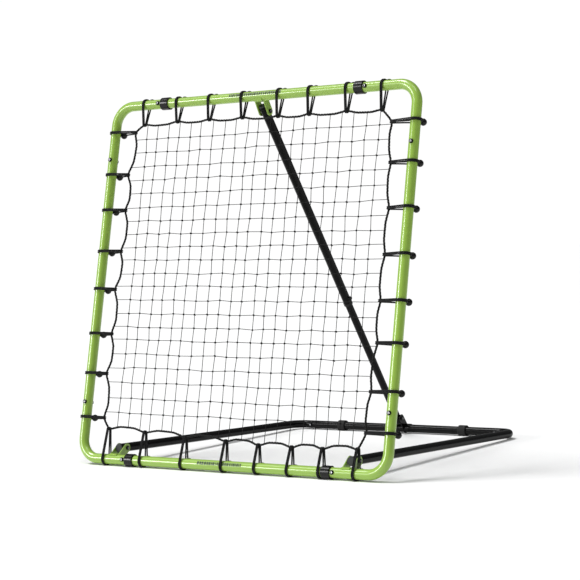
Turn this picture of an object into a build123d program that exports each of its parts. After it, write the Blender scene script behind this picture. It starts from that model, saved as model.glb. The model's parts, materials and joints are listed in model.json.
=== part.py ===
"""Pitch back rebounder: a leaning square tube frame with a sprung net, on a tube base.

Lengths are in millimetres. +X is to the right for someone facing the net, +Y is away
from them and +Z is up. The origin is on the floor, under the middle of the object.
"""
from math import acos, atan2, cos, degrees, hypot, radians, sin, tan
import os

from build123d import *

os.makedirs("parts", exist_ok=True)

# ---- Net frame -------------------------------------------------------------
frame_size = 1200.0        # outside width and height of the square frame
frame_tube = 32.0          # outside diameter of its tube
frame_wall = 1.5
frame_bend = 64.0          # centre-line radius of the rounded corners
frame_lean = 12.5          # degrees that the frame leans back
joint_reach = 181.0        # from a corner's centre to the bolt of each tube joint
seam_reach = 25.0          # from that bolt to the seam between the two tubes
spigot_length = 52.0       # narrowed tube end inside the corner tube
spigot_gap = 0.1           # radial gap round the spigot

# ---- Sleeves over the top and bottom seams ---------------------------------
sleeve_length = 32.0
sleeve_wall = 4.5
sleeve_edge = 1.5

# ---- Base ------------------------------------------------------------------
base_tube = 28.0
base_wall = 1.5
base_width = 893.0         # between the centre lines of the two arms
base_depth = 1028.0        # from the bottom tube's centre line to the rear tube's
base_bend = 50.0
rear_joint_reach = 66.0
rear_spigot_length = 40.0
foot_wall = 5.0            # rubber foot rings on the rear tube
foot_length = 30.0
foot_spacing = 498.0
foot_sole_cut = 1.5        # how much of each ring is cut off flat underneath

# ---- Brackets and pivots ---------------------------------------------------
pivot_back = 36.0          # pivot centre behind the tube's centre line
pivot_inward = 41.0        # and towards the middle of the frame
ear_round = 14.0
ear_root = 13.0
ear_thick = 3.0
ear_side_gap = 1.0         # between a tube and each ear
bush_side_gap = 0.3        # between a bush's end and each ear
bush_size = 12.0
running_gap = 0.05         # radial, pivot bolt in its bush
pivot_overrun = 20.0       # tube past its pivot
cap_thick = 2.5
cap_depth = 8.0
cap_plug_wall = 2.25       # wall of the plug inside the tube

# ---- Strut -----------------------------------------------------------------
strut_size = 28.0
strut_wall = 1.2
strut_slide_gap = 0.3      # radial gap between the two strut tubes
strut_upper_length = 772.0 # from the top pivot to the lower end of the upper tube
strut_overlap = 250.0
strut_foot_rise = 46.0     # foot pivot above the rear tube's centre, along the strut
strut_foot_overrun = 16.0
strut_foot_hole = 16.0     # wide hole: the foot pivot's play
strut_cap_depth = 5.0
saddle_length = 76.0
saddle_wall = 2.5
ring_length = 10.0         # plastic ring on the upper tube's lower end
ring_wall = 1.4
ring_lip = 2.0
clamp_rise = 24.0          # clamp screw above the upper tube's lower end
clamp_boss = 13.0
clamp_boss_height = 3.0

# ---- Bolts -----------------------------------------------------------------
bolt_size = 8.0
bolt_hole_gap = 0.1        # radial
head_size = 14.0
head_height = 4.5
nut_flats = 13.0
nut_height = 6.0
bolt_tail = 2.0
head_taper = 40.0          # degrees that the dome of a bolt head slopes in
clamp_size = 6.0
clamp_head = 12.0
clamp_sink = 1.0           # how far its shank reaches into its head

# ---- Net, border rope and elastic ties -------------------------------------
rope_size = 7.5
tie_size = 4.8             # one strand of the doubled elastic
tie_gap = 0.25             # elastic to tube
tie_spacing = 5.0          # between the two strands of a tie
ball_size = 22.0
ball_sink = 1.0            # how far a ball seats on its elastic
net_thick = 2.0
net_inset = 10.0           # edge of the net panel inside the rope
bend_share = 0.45          # how much of a rope run each of its two bends may take
sag_places = (0.3, 0.7)    # where the rope bends between two ties, as parts of the span

# Where each tie is hooked, from the evenly spaced place, and the rope's distance from the
# tube there. Lists run left to right on top and bottom, and top to bottom at the sides.
tie_ends = {"top": (121.0, 121.0), "bottom": (101.0, 107.0),
            "left": (90.0, 132.0), "right": (114.0, 121.0)}
tie_nudges = {"top": [0, 6, 4, 4, 11, -3, 4, 0],
              "bottom": [0, 14, 42, 64, 52, 38, 13, 0],
              "left": [0, 7, -9, -7, -16, -4, -9, 0],
              "right": [0, -8, -3, 4, 9, 1, 12, 0]}
tie_reaches = {"top": [64, 61, 62, 64, 68, 69, 69, 73],
               "bottom": [95, 89, 81, 74, 67, 66, 66, 70],
               "left": [83, 69, 73, 72, 63, 68, 64, 73],
               "right": [81, 74, 67, 68, 70, 68, 76, 81]}
rope_sags = {"top": 8.0, "bottom": 12.0, "left": 17.0, "right": 9.0}
ball_turns = {"top": 32.0, "bottom": -16.0, "left": -20.0, "right": 16.0}

# ---- Sizes that follow ------------------------------------------------------
lean = radians(frame_lean)
frame_r = frame_tube / 2
base_r = base_tube / 2
span = frame_size - frame_tube
half = span / 2
arm_x = base_width / 2
seam_at = joint_reach + seam_reach
bolt_r = bolt_size / 2
bolt_hole_r = bolt_r + bolt_hole_gap
sleeve_r = frame_r + sleeve_wall
foot_r = base_r + foot_wall
rear_z = foot_r - foot_sole_cut
saddle_r = base_r + saddle_wall
ear_inner = base_r + ear_side_gap       # from a pivot's middle to an ear's inner face
ear_outer = ear_inner + ear_thick

front_reach = (frame_r + head_height) * cos(lean) + head_size / 2 * sin(lean)
rear_reach = base_r + nut_height + bolt_tail
bottom_y = (front_reach - rear_reach - base_depth) / 2
rear_y = bottom_y + base_depth

RIGHT = Vector(1, 0, 0)
LEFT = Vector(-1, 0, 0)
UP = Vector(0, sin(lean), cos(lean))
DOWN = UP * -1
FRONT = Vector(0, -cos(lean), sin(lean))
BACK = FRONT * -1
face = Plane(origin=(0, bottom_y, sleeve_r), x_dir=RIGHT, z_dir=FRONT)


def spot(x, height, behind=0.0):
    """A place on the leaning frame: across, up the frame from the bottom tube, and behind it."""
    return face.from_local_coords(Vector(x, height, -behind))


def save(piece, label):
    piece.part.label = label
    export_step(piece.part, f"parts/{label}.step")


# ---- Pivots and the strut's line -------------------------------------------
base_pivot = spot(0, pivot_inward, pivot_back)
top_pivot = spot(0, span - pivot_inward, pivot_back)
rear_centre = Vector(0, rear_y, rear_z)
strut_line = (rear_centre - top_pivot).normalized()
foot_pivot = rear_centre - strut_line * strut_foot_rise
strut_length = (foot_pivot - top_pivot).length

# The base lies in one plane, which falls from the pivots to the rear tube.
base_slope = atan2(base_pivot.Z - rear_z, rear_y - base_pivot.Y)
base_run = hypot(base_pivot.Z - rear_z, rear_y - base_pivot.Y)
base_face = Plane(origin=base_pivot, x_dir=RIGHT, z_dir=(0, sin(base_slope), cos(base_slope)))


# ---- Shared shapes ----------------------------------------------------------
def cut_hole(centre, direction, radius, reach):
    """Cuts a round hole both ways from a centre, in the part that is open."""
    with BuildSketch(Plane(centre, z_dir=direction)) as hole:
        Circle(radius)
    extrude(hole.sketch, amount=reach, both=True, mode=Mode.SUBTRACT)


def pipe(start, end, radius, wall):
    """Adds a straight tube to the part that is open."""
    run = end - start
    with BuildSketch(Plane(start, z_dir=run)) as section:
        Circle(radius)
        Circle(radius - wall, mode=Mode.SUBTRACT)
    extrude(section.sketch, amount=run.length)


def joined_tube(start, end, radius, wall, bolt_direction, spigot):
    """A straight tube with a narrowed spigot at each end and a bolt hole through each."""
    along = (end - start).normalized()
    spigot_r = radius - wall - spigot_gap
    shoulder = 2 * wall
    with BuildPart() as tube:
        pipe(start, end, radius, wall)
        for tip, inward in ((start, along), (end, along * -1)):
            pipe(tip, tip + inward * shoulder, radius, 2 * wall + spigot_gap)
            pipe(tip - inward * spigot, tip + inward * shoulder, spigot_r, wall)
            cut_hole(tip - inward * seam_reach, bolt_direction, bolt_hole_r, radius)
    return tube


def bent_tube(plane, points, bend, radius, wall, holes):
    """A tube bent through a flat route, with cross holes given as (centre, direction, radius)."""
    with BuildPart() as tube:
        with BuildLine(plane) as route:
            FilletPolyline(*points, radius=bend)
        with BuildSketch(Plane(route.line @ 0, z_dir=route.line % 0)):
            Circle(radius)
            Circle(radius - wall, mode=Mode.SUBTRACT)
        sweep()
        for centre, direction, hole_r in holes:
            cut_hole(centre, direction, hole_r, radius + wall)
    return tube


def sleeve(centre, direction, inner, outer, length, edge):
    """A plain ring over a tube, with its outer edges eased."""
    with BuildPart() as ring:
        with BuildSketch(Plane(centre - direction * (length / 2), z_dir=direction)):
            Circle(outer)
        extrude(amount=length)
        chamfer(ring.edges().filter_by(GeomType.CIRCLE), edge)
        cut_hole(centre, direction, inner, length)
    return ring


def button_head(plane, low):
    """A domed round head from low to its top on a plane; the dome is the upper half."""
    with BuildSketch(plane) as rim:
        Circle(head_size / 2)
    extrude(rim.sketch, amount=head_height / 2 + low)
    with BuildSketch(plane.offset(head_height / 2 + low)) as dome:
        Circle(head_size / 2)
    extrude(dome.sketch, amount=head_height / 2, taper=head_taper)


def cross_bolts(places, tube_r):
    """Button-head bolts through a tube, as (tube centre, towards the head, along the tube)."""
    seat = (tube_r ** 2 - (head_size / 2) ** 2) ** 0.5
    with BuildPart() as bolts:
        for centre, outward, along in places:
            button_head(Plane(centre + outward * seat, z_dir=outward), tube_r - seat)
        for centre, outward, along in places:
            cut_hole(centre, along, tube_r, head_size)
        for centre, outward, along in places:
            with BuildSketch(Plane(centre + outward * (tube_r + head_height / 2), z_dir=outward * -1)):
                Circle(bolt_r)
            extrude(amount=2 * tube_r + head_height / 2 + nut_height + bolt_tail)
    return bolts


def cross_nuts(places, tube_r):
    """Hexagon nuts on the far side of the tube, seated on its round wall."""
    seat = (tube_r ** 2 - (nut_flats / 2) ** 2) ** 0.5
    with BuildPart() as nuts:
        for centre, outward, along in places:
            with BuildSketch(Plane(centre - outward * seat, x_dir=along, z_dir=outward * -1)):
                RegularPolygon(nut_flats / 2, 6, major_radius=False)
            extrude(amount=tube_r + nut_height - seat)
        for centre, outward, along in places:
            cut_hole(centre, along, tube_r, nut_flats)
            cut_hole(centre, outward, bolt_hole_r, tube_r + 2 * nut_height)
    return nuts


def pivot_bolt(centre):
    """A bolt across two ears: its head on the right ear, its nut on the left one."""
    with BuildPart() as bolt:
        button_head(Plane(centre + RIGHT * ear_outer, z_dir=RIGHT), 0)
        with BuildSketch(Plane(centre + RIGHT * ear_outer, z_dir=LEFT)):
            Circle(bolt_r)
        extrude(amount=2 * ear_outer + nut_height + bolt_tail)
    return bolt


def pivot_nut(centre):
    with BuildPart() as nut:
        with BuildSketch(Plane(centre + LEFT * ear_outer, z_dir=LEFT)):
            RegularPolygon(nut_flats / 2, 6, major_radius=False)
            Circle(bolt_hole_r, mode=Mode.SUBTRACT)
        extrude(amount=nut_height)
    return nut


def pivot_bush(centre):
    """The tube's own bush, which turns on the pivot bolt between the ears."""
    with BuildPart() as bush:
        with BuildSketch(Plane(centre, z_dir=RIGHT)):
            Circle(bush_size / 2)
            Circle(bolt_r + running_gap, mode=Mode.SUBTRACT)
        extrude(amount=ear_inner - bush_side_gap, both=True)
    return bush


def ear_bracket(tube_centre, inward, tube_r, web_wall, back, rise, web_length):
    """Two ears on a saddle that hugs the tube; back and rise place the pivot."""
    side = Plane(tube_centre, x_dir=BACK, z_dir=BACK.cross(inward))
    spine = atan2(rise, back)
    root = Vector(cos(spine), sin(spine)) * (tube_r - ear_root / 4)
    with BuildPart() as bracket:
        for centre in (ear_inner + ear_thick / 2, -ear_inner - ear_thick / 2):
            with BuildSketch(side.offset(centre)):
                with Locations((back, rise)):
                    Circle(ear_round)
                with Locations((root.X, root.Y)):
                    Circle(ear_root)
                make_hull()
            extrude(amount=ear_thick / 2, both=True)
        with BuildSketch(side):
            Circle(tube_r + web_wall)
            with Locations((0, 0)):
                Rectangle(4 * tube_r, 4 * tube_r, rotation=degrees(spine),
                          align=(Align.MAX, Align.CENTER), mode=Mode.SUBTRACT)
        extrude(amount=web_length / 2, both=True)
        cut_hole(tube_centre, RIGHT, tube_r, web_length)
        cut_hole(side.from_local_coords((back, rise, 0)), RIGHT, bolt_hole_r, 2 * ear_outer)
    return bracket


def end_cap(tip, outward, radius, wall, depth):
    """A plastic plug in a tube's open end, with a lip over the end."""
    with BuildPart() as cap:
        with BuildSketch(Plane(tip, z_dir=outward)):
            Circle(radius)
        extrude(amount=cap_thick)
        chamfer(cap.faces().sort_by(Axis(tip, outward))[-1].edges(), cap_thick / 2)
        with BuildSketch(Plane(tip, z_dir=outward * -1)):
            Circle(radius - wall)
            Circle(radius - wall - cap_plug_wall, mode=Mode.SUBTRACT)
        extrude(amount=depth)
    return cap


def foot_ring(centre):
    """A rubber ring round the rear tube, cut flat where it stands on the floor."""
    with BuildPart() as ring:
        with BuildSketch(Plane(centre - RIGHT * (foot_length / 2), z_dir=RIGHT)):
            Circle(foot_r)
        extrude(amount=foot_length)
        chamfer(ring.edges().filter_by(GeomType.CIRCLE), sleeve_edge)
        with BuildSketch(Plane((centre.X, centre.Y, 0))):
            Rectangle(2 * foot_length, 4 * foot_r)
        extrude(amount=-foot_r, mode=Mode.SUBTRACT)
        cut_hole(centre, RIGHT, base_r, foot_length)
    return ring


# ---- Corner tubes and straight tubes of the net frame ----------------------
CORNERS = {"top_left": (-1, 1), "top_right": (1, 1), "bottom_left": (-1, -1), "bottom_right": (1, -1)}
MIDDLE = span / 2


def on_face(x, height):
    """A place in the frame's plane, across and up from the frame's middle."""
    return spot(x, MIDDLE + height)


for name, (across, up) in CORNERS.items():
    legs = [(across * (half - seam_at), MIDDLE + up * half), (across * half, MIDDLE + up * half),
            (across * half, MIDDLE + up * (half - seam_at))]
    bolts = [(on_face(across * (half - joint_reach), up * half), FRONT, bolt_hole_r),
             (on_face(across * half, up * (half - joint_reach)), FRONT, bolt_hole_r)]
    save(bent_tube(face, legs, frame_bend, frame_r, frame_wall, bolts), f"corner_tube_{name}")

tube_half = half - seam_at
for name, up in (("top_tube", half), ("bottom_tube", -half)):
    ends = on_face(-tube_half, up), on_face(tube_half, up)
    save(joined_tube(*ends, frame_r, frame_wall, FRONT, spigot_length), name)
for name, across in (("left_tube", -half), ("right_tube", half)):
    ends = on_face(across, -tube_half), on_face(across, tube_half)
    save(joined_tube(*ends, frame_r, frame_wall, FRONT, spigot_length), name)

for name, (across, up) in CORNERS.items():
    centre = on_face(across * tube_half, up * half)
    ring = sleeve(centre, RIGHT, frame_r, sleeve_r, sleeve_length, sleeve_edge)
    save(ring, f"seam_sleeve_{name}")

frame_joints = []
for across, up in CORNERS.values():
    frame_joints.append((on_face(across * (half - joint_reach), up * half), FRONT, RIGHT))
    frame_joints.append((on_face(across * half, up * (half - joint_reach)), FRONT, UP))
save(cross_bolts(frame_joints, frame_r), "frame_joint_bolts")
save(cross_nuts(frame_joints, frame_r), "frame_joint_nuts")

# ---- Brackets on the frame and their pivot bolts ---------------------------
for name, across in (("left", -arm_x), ("right", arm_x)):
    save(ear_bracket(spot(across, 0), UP, frame_r, ear_thick, pivot_back, pivot_inward,
                     2 * ear_inner), f"arm_bracket_{name}")
    save(pivot_bolt(base_pivot + RIGHT * across), f"arm_pivot_bolt_{name}")
    save(pivot_nut(base_pivot + RIGHT * across), f"arm_pivot_nut_{name}")
save(ear_bracket(spot(0, span), DOWN, frame_r, ear_thick, pivot_back, pivot_inward,
                 2 * ear_inner), "strut_bracket_top")
save(pivot_bolt(top_pivot), "strut_top_bolt")
save(pivot_nut(top_pivot), "strut_top_nut")

# ---- Base: two bent arms, a rear tube and its foot rings -------------------
rear_seam = arm_x - rear_joint_reach - seam_reach
for name, across in (("left", -1), ("right", 1)):
    pivot = base_pivot + RIGHT * (across * arm_x)
    joint = Vector(across * (arm_x - rear_joint_reach), rear_y, rear_z)
    legs = [(across * arm_x, -pivot_overrun), (across * arm_x, base_run),
            (across * rear_seam, base_run)]
    holes = [(pivot, RIGHT, bush_size / 2), (joint, Vector(0, -1, 0), bolt_hole_r)]
    save(bent_tube(base_face, legs, base_bend, base_r, base_wall, holes), f"base_arm_{name}")
    save(pivot_bush(pivot), f"arm_pivot_bush_{name}")
    tip = pivot - base_face.y_dir * pivot_overrun
    save(end_cap(tip, base_face.y_dir * -1, base_r, base_wall, cap_depth), f"arm_cap_{name}")
    foot_centre = Vector(across * foot_spacing / 2, rear_y, rear_z)
    save(foot_ring(foot_centre), f"rear_foot_{name}")

rear_ends = Vector(-rear_seam, rear_y, rear_z), Vector(rear_seam, rear_y, rear_z)
save(joined_tube(*rear_ends, base_r, base_wall, Vector(0, -1, 0), rear_spigot_length), "rear_tube")
rear_joints = [(Vector(across * (arm_x - rear_joint_reach), rear_y, rear_z), Vector(0, -1, 0), RIGHT)
               for across in (-1, 1)]
save(cross_bolts(rear_joints, base_r), "rear_joint_bolts")
save(cross_nuts(rear_joints, base_r), "rear_joint_nuts")

# ---- Strut: two sliding tubes from the frame to the rear tube --------------
foot_side = Plane(rear_centre, x_dir=(0, 1, 0), z_dir=RIGHT)


def strut_foot_bracket():
    """A saddle on the rear tube with two ears that hold the strut's foot bolt."""
    rise = foot_pivot - rear_centre
    with BuildPart() as bracket:
        for centre in (ear_inner + ear_thick / 2, -ear_inner - ear_thick / 2):
            with BuildSketch(foot_side.offset(centre)):
                with Locations((rise.Y, rise.Z)):
                    Circle(ear_round)
                Circle(saddle_r)
                make_hull()
            extrude(amount=ear_thick / 2, both=True)
        with BuildSketch(foot_side):
            Circle(saddle_r)
            Rectangle(4 * base_r, 4 * base_r, rotation=degrees(atan2(rise.Z, rise.Y)),
                      align=(Align.MAX, Align.CENTER), mode=Mode.SUBTRACT)
        extrude(amount=saddle_length / 2, both=True)
        cut_hole(rear_centre, RIGHT, base_r, saddle_length)
        cut_hole(foot_pivot, RIGHT, bolt_hole_r, 2 * ear_outer)
    return bracket


save(strut_foot_bracket(), "strut_bracket_foot")
save(pivot_bolt(foot_pivot), "strut_foot_bolt")
save(pivot_nut(foot_pivot), "strut_foot_nut")

strut_r = strut_size / 2
slide_r = strut_r - strut_wall - strut_slide_gap
upper_end = top_pivot + strut_line * strut_upper_length

with BuildPart() as strut_upper_tube:
    pipe(top_pivot - strut_line * pivot_overrun, upper_end, strut_r, strut_wall)
    cut_hole(top_pivot, RIGHT, bush_size / 2, strut_size)
    with BuildSketch(Plane(upper_end - strut_line * clamp_rise, z_dir=RIGHT)):
        Circle(clamp_size / 2 + bolt_hole_gap)
    extrude(amount=strut_size, mode=Mode.SUBTRACT)
save(strut_upper_tube, "strut_upper_tube")
save(pivot_bush(top_pivot), "strut_pivot_bush")
save(end_cap(top_pivot - strut_line * pivot_overrun, strut_line * -1, strut_r, strut_wall, cap_depth),
     "strut_top_cap")

with BuildPart() as strut_end_ring:
    with BuildSketch(Plane(upper_end - strut_line * (ring_length - ring_lip), z_dir=strut_line)):
        Circle(strut_r + ring_wall)
        Circle(strut_r, mode=Mode.SUBTRACT)
    extrude(amount=ring_length - ring_lip)
    with BuildSketch(Plane(upper_end, z_dir=strut_line)):
        Circle(strut_r + ring_wall)
        Circle(strut_r - strut_wall, mode=Mode.SUBTRACT)
    extrude(amount=ring_lip)
save(strut_end_ring, "strut_end_ring")

clamp_at = upper_end - strut_line * clamp_rise
with BuildPart() as strut_clamp_boss:
    with BuildSketch(Plane(clamp_at + RIGHT * (strut_r - strut_wall), z_dir=RIGHT)):
        Circle(clamp_boss / 2)
    extrude(amount=strut_wall + clamp_boss_height)
    cut_hole(clamp_at, strut_line, strut_r, clamp_boss)
    cut_hole(clamp_at, RIGHT, clamp_size / 2 + bolt_hole_gap, strut_size)
save(strut_clamp_boss, "strut_clamp_boss")

with BuildPart() as strut_clamp_screw:
    with BuildSketch(Plane(clamp_at + RIGHT * (strut_r + clamp_boss_height), z_dir=RIGHT)):
        Circle(clamp_head / 2)
    extrude(amount=head_height)
    with BuildSketch(Plane(clamp_at + RIGHT * (slide_r + strut_slide_gap), z_dir=RIGHT)):
        Circle(clamp_size / 2)
    extrude(amount=strut_wall + clamp_boss_height + clamp_sink)
save(strut_clamp_screw, "strut_clamp_screw")

with BuildPart() as strut_lower_tube:
    pipe(upper_end - strut_line * strut_overlap, foot_pivot + strut_line * strut_foot_overrun,
         slide_r, strut_wall)
    cut_hole(foot_pivot, RIGHT, strut_foot_hole / 2, strut_size)
save(strut_lower_tube, "strut_lower_tube")
save(end_cap(foot_pivot + strut_line * strut_foot_overrun, strut_line, slide_r, strut_wall,
             strut_cap_depth), "strut_foot_cap")

# ---- Where the ties are hooked, and the rope's route -----------------------
# Each side, from the frame's middle: its tube, the direction of its list, and its inward way.
SIDES = {"top": (Vector(0, half), Vector(1, 0), Vector(0, -1)),
         "right": (Vector(half, 0), Vector(0, -1), Vector(-1, 0)),
         "bottom": (Vector(0, -half), Vector(1, 0), Vector(0, 1)),
         "left": (Vector(-half, 0), Vector(0, -1), Vector(1, 0))}


def hook_places(side):
    """Where a side's ties cross its tube and where they hold the rope, in the frame's plane."""
    tube, along, inward = SIDES[side]
    first, last = tie_ends[side]
    count = len(tie_reaches[side])
    pitch = (span - first - last) / (count - 1)
    places = []
    for index, (nudge, reach) in enumerate(zip(tie_nudges[side], tie_reaches[side])):
        crossing = tube + along * (first - half + index * pitch + nudge)
        places.append((crossing, crossing + inward * reach))
    return places


def rope_points(side, inset=0.0):
    """The rope's route along one side: it hangs in towards the net between its ties."""
    inward = SIDES[side][2]
    held = [rope for tube, rope in hook_places(side)]
    points = [held[0] + inward * inset]
    for here, there in zip(held, held[1:]):
        for part in sag_places:
            points.append(here + (there - here) * part + inward * (rope_sags[side] + inset))
        points.append(there + inward * inset)
    return points


def round_trip(inset=0.0):
    """The closed route round the net, clockwise from the top left, as frame coordinates."""
    route = rope_points("top", inset) + rope_points("right", inset)
    route += rope_points("bottom", inset)[::-1] + rope_points("left", inset)[::-1]
    return [Vector(point.X, point.Y + MIDDLE) for point in route]


def bend_radii(points):
    """For each point of a closed route, the largest tangent arc that its two runs allow."""
    radii = []
    for before, here, after in zip(points[-1:] + points[:-1], points, points[1:] + points[:1]):
        arriving, leaving = here - before, after - here
        half_turn = radians(arriving.get_angle(leaving)) / 2
        radii.append(bend_share * min(arriving.length, leaving.length) / tan(half_turn))
    return radii


rope_route = round_trip()
rope_radii = bend_radii(rope_route)
with BuildPart() as border_rope:
    with BuildLine() as rope_line:
        FilletPolyline(*rope_route, radius=rope_radii, close=True)
    rope_path = face.from_local_coords(rope_line.wire())
    with BuildSketch(Plane(rope_path @ 0, z_dir=rope_path % 0)) as rope_section:
        Circle(rope_size / 2)
    sweep(rope_section.sketch, path=rope_path)
save(border_rope, "border_rope")

with BuildPart() as net_panel:
    with BuildSketch(face):
        with BuildLine():
            Polyline(*round_trip(net_inset), close=True)
        make_face()
    extrude(amount=net_thick / 2, both=True)
save(net_panel, "net_panel")

# ---- Elastic ties: each a doubled loop over the tube and the rope, with a ball
wrap_r = frame_r + tie_gap + tie_size / 2
hook_r = rope_size / 2 + tie_gap + tie_size / 2
ball_out = wrap_r + tie_size / 2 + ball_size / 2 - ball_sink


def in_frame(flat):
    """A direction in the frame's plane, as a direction in the room."""
    return RIGHT * flat.X + UP * flat.Y


def tie_strand(plane, reach):
    """One strand: round the tube at the plane's origin and round the rope at the reach."""
    meet = acos((wrap_r - hook_r) / reach)
    for middle, radius, way, turn in ((0, wrap_r, 1, 360 - degrees(2 * meet)),
                                      (reach, hook_r, -1, degrees(2 * meet))):
        centre = plane.from_local_coords((middle, 0, 0))
        start = plane.from_local_coords((middle + radius * cos(meet), way * radius * sin(meet), 0))
        with BuildSketch(Plane(start, z_dir=plane.z_dir.cross(start - centre))) as strand:
            Circle(tie_size / 2)
        revolve(strand.sketch, axis=Axis(centre, plane.z_dir), revolution_arc=turn)
    for way in (1, -1):
        start = plane.from_local_coords((wrap_r * cos(meet), way * wrap_r * sin(meet), 0))
        end = plane.from_local_coords((reach + hook_r * cos(meet), way * hook_r * sin(meet), 0))
        with BuildSketch(Plane(start, z_dir=end - start)) as strand:
            Circle(tie_size / 2)
        extrude(strand.sketch, amount=(end - start).length)


for side, (tube, flat_along, flat_inward) in SIDES.items():
    along, inward = in_frame(flat_along), in_frame(flat_inward)
    with BuildPart() as ties:
        for (crossing, rope), reach in zip(hook_places(side), tie_reaches[side]):
            for beside in (-1, 1):
                middle = on_face(crossing.X, crossing.Y) + along * (beside * tie_spacing / 2)
                tie_strand(Plane(middle, x_dir=inward, z_dir=along), reach)
    save(ties, f"elastic_ties_{side}")

    turn = radians(ball_turns[side])
    outwards = BACK * cos(turn) - inward * sin(turn)
    with BuildPart() as balls:
        with Locations(*[on_face(crossing.X, crossing.Y) + outwards * ball_out
                         for crossing, rope in hook_places(side)]):
            Sphere(ball_size / 2)
    save(balls, f"tie_balls_{side}")

print(f"strut, pivot to pivot {strut_length:.1f}; base arms fall {degrees(base_slope):.2f} degrees")
print(f"rope {rope_path.length:.0f} long, tightest bend {min(rope_radii):.1f}")
for name, place in (("base pivot", base_pivot), ("top pivot", top_pivot), ("foot pivot", foot_pivot)):
    print(f"{name} at ({place.X:.2f}, {place.Y:.3f}, {place.Z:.3f})")
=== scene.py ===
# %% [markdown]
# # A pitch back rebounder
# A square of bent steel tube leans back on a U-shaped base. A net hangs inside it on a border
# rope, and the rope is pulled outwards by doubled elastic ties with balls on their ends.
# The measured model gives every place and size, so it is loaded first and nothing in it moves.

# %% Load the measured model
import json
from math import acos, asin, cos, hypot, pi, radians, sin
import random

import bmesh
import bpy
from mathutils import Matrix, Vector


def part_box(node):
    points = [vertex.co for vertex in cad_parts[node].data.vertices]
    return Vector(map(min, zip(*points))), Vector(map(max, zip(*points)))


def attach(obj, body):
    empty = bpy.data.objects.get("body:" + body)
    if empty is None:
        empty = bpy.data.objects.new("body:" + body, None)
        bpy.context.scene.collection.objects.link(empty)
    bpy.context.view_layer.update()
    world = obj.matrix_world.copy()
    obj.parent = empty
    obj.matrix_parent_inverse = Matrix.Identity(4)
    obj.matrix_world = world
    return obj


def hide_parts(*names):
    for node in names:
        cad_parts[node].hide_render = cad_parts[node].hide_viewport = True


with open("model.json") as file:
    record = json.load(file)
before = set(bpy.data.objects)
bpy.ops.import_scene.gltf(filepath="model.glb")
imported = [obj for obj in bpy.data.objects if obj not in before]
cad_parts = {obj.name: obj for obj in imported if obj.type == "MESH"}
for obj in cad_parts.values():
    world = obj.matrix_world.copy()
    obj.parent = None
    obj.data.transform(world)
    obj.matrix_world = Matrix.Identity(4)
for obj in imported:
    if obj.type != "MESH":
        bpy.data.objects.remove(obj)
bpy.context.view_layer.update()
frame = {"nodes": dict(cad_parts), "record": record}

nodes = frame["nodes"]

# %% [markdown]
# ## The leaning square
# The net, its rope and its ties all lie in the plane of the leaning square. Its middle and its
# upward direction come from the boxes of the top and bottom tubes, so that a piece can be
# placed by three plain numbers: across, up, and behind the plane.

# %% Directions of the leaning square
MM = 0.001


def middle_of(node):
    low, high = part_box(node)
    return (low + high) / 2


bottom_middle, top_middle = middle_of("bottom_tube"), middle_of("top_tube")
square_middle = (bottom_middle + top_middle) / 2
half = (top_middle - bottom_middle).length / 2
RIGHT = Vector((1, 0, 0))
UP = (top_middle - bottom_middle).normalized()
FRONT = RIGHT.cross(UP)
BACK = -FRONT


def place(across, up, behind=0.0):
    """A point by its distances from the middle of the square, in metres."""
    return square_middle + RIGHT * across + UP * up + BACK * behind


low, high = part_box("left_tube")
tube_r = (high.x - low.x) / 2
low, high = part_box("rear_tube")
base_r = (high.y - low.y) / 2
print(f"square {2 * half:.3f} m between centre lines, tube {2 * tube_r:.4f} m thick")

# %% [markdown]
# ## The camera
# A long lens far from the object keeps its upright tubes nearly parallel. The camera stands to
# the right of the rebounder, a little above the middle of the net, and is turned very
# slightly about its own line of sight. It is made from its two angles and that small turn.

# %% Camera
camera_place = Vector((3.3945, -4.9377, 0.7821))
camera_azimuth, camera_elevation, camera_roll = (radians(a) for a in (35.264, 2.350, -2.130))
sensor_width = 36.0
focal_length = 113.27

forward = Vector((-sin(camera_azimuth) * cos(camera_elevation),
                  cos(camera_azimuth) * cos(camera_elevation), -sin(camera_elevation)))
level = Vector((cos(camera_azimuth), sin(camera_azimuth), 0))
upright = level.cross(forward)
side_axis = level * cos(camera_roll) + upright * sin(camera_roll)
up_axis = upright * cos(camera_roll) - level * sin(camera_roll)

camera_data = bpy.data.cameras.new("camera")
camera_data.lens, camera_data.sensor_width = focal_length, sensor_width
camera = bpy.data.objects.new("camera", camera_data)
turn = Matrix((side_axis, up_axis, -forward)).transposed()
camera.matrix_world = Matrix.Translation(camera_place) @ turn.to_4x4()
bpy.context.scene.collection.objects.link(camera)
bpy.context.scene.camera = camera
print("camera", [round(c, 3) for c in camera_place], "lens", focal_length)

# %% [markdown]
# ## Helpers for node trees
# Every finish below is a small tree of shader nodes. Two helpers keep the code readable: one
# adds a node and fills in its sockets, and one starts a material with its main shader. A value
# that is the same all over is put straight on the shader's own socket.

# %% Helpers for node trees


def add_node(tree, kind, **values):
    """Adds a node. Values are attributes, or sockets if they are named in_<socket name>."""
    node = tree.nodes.new(kind)
    for key, value in values.items():
        if not key.startswith("in_"):
            setattr(node, key, value)
    for key, value in values.items():
        if key.startswith("in_"):
            node.inputs[key[3:].replace("_", " ")].default_value = value
    return node


def new_material(name, **sockets):
    """A material with a Principled shader, and its tree and shader to build on."""
    material = bpy.data.materials.new(name)
    material.use_nodes = True
    tree = material.node_tree
    shader = tree.nodes["Principled BSDF"]
    for key, value in sockets.items():
        shader.inputs[key.replace("_", " ")].default_value = value
    return material, tree, shader


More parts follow.
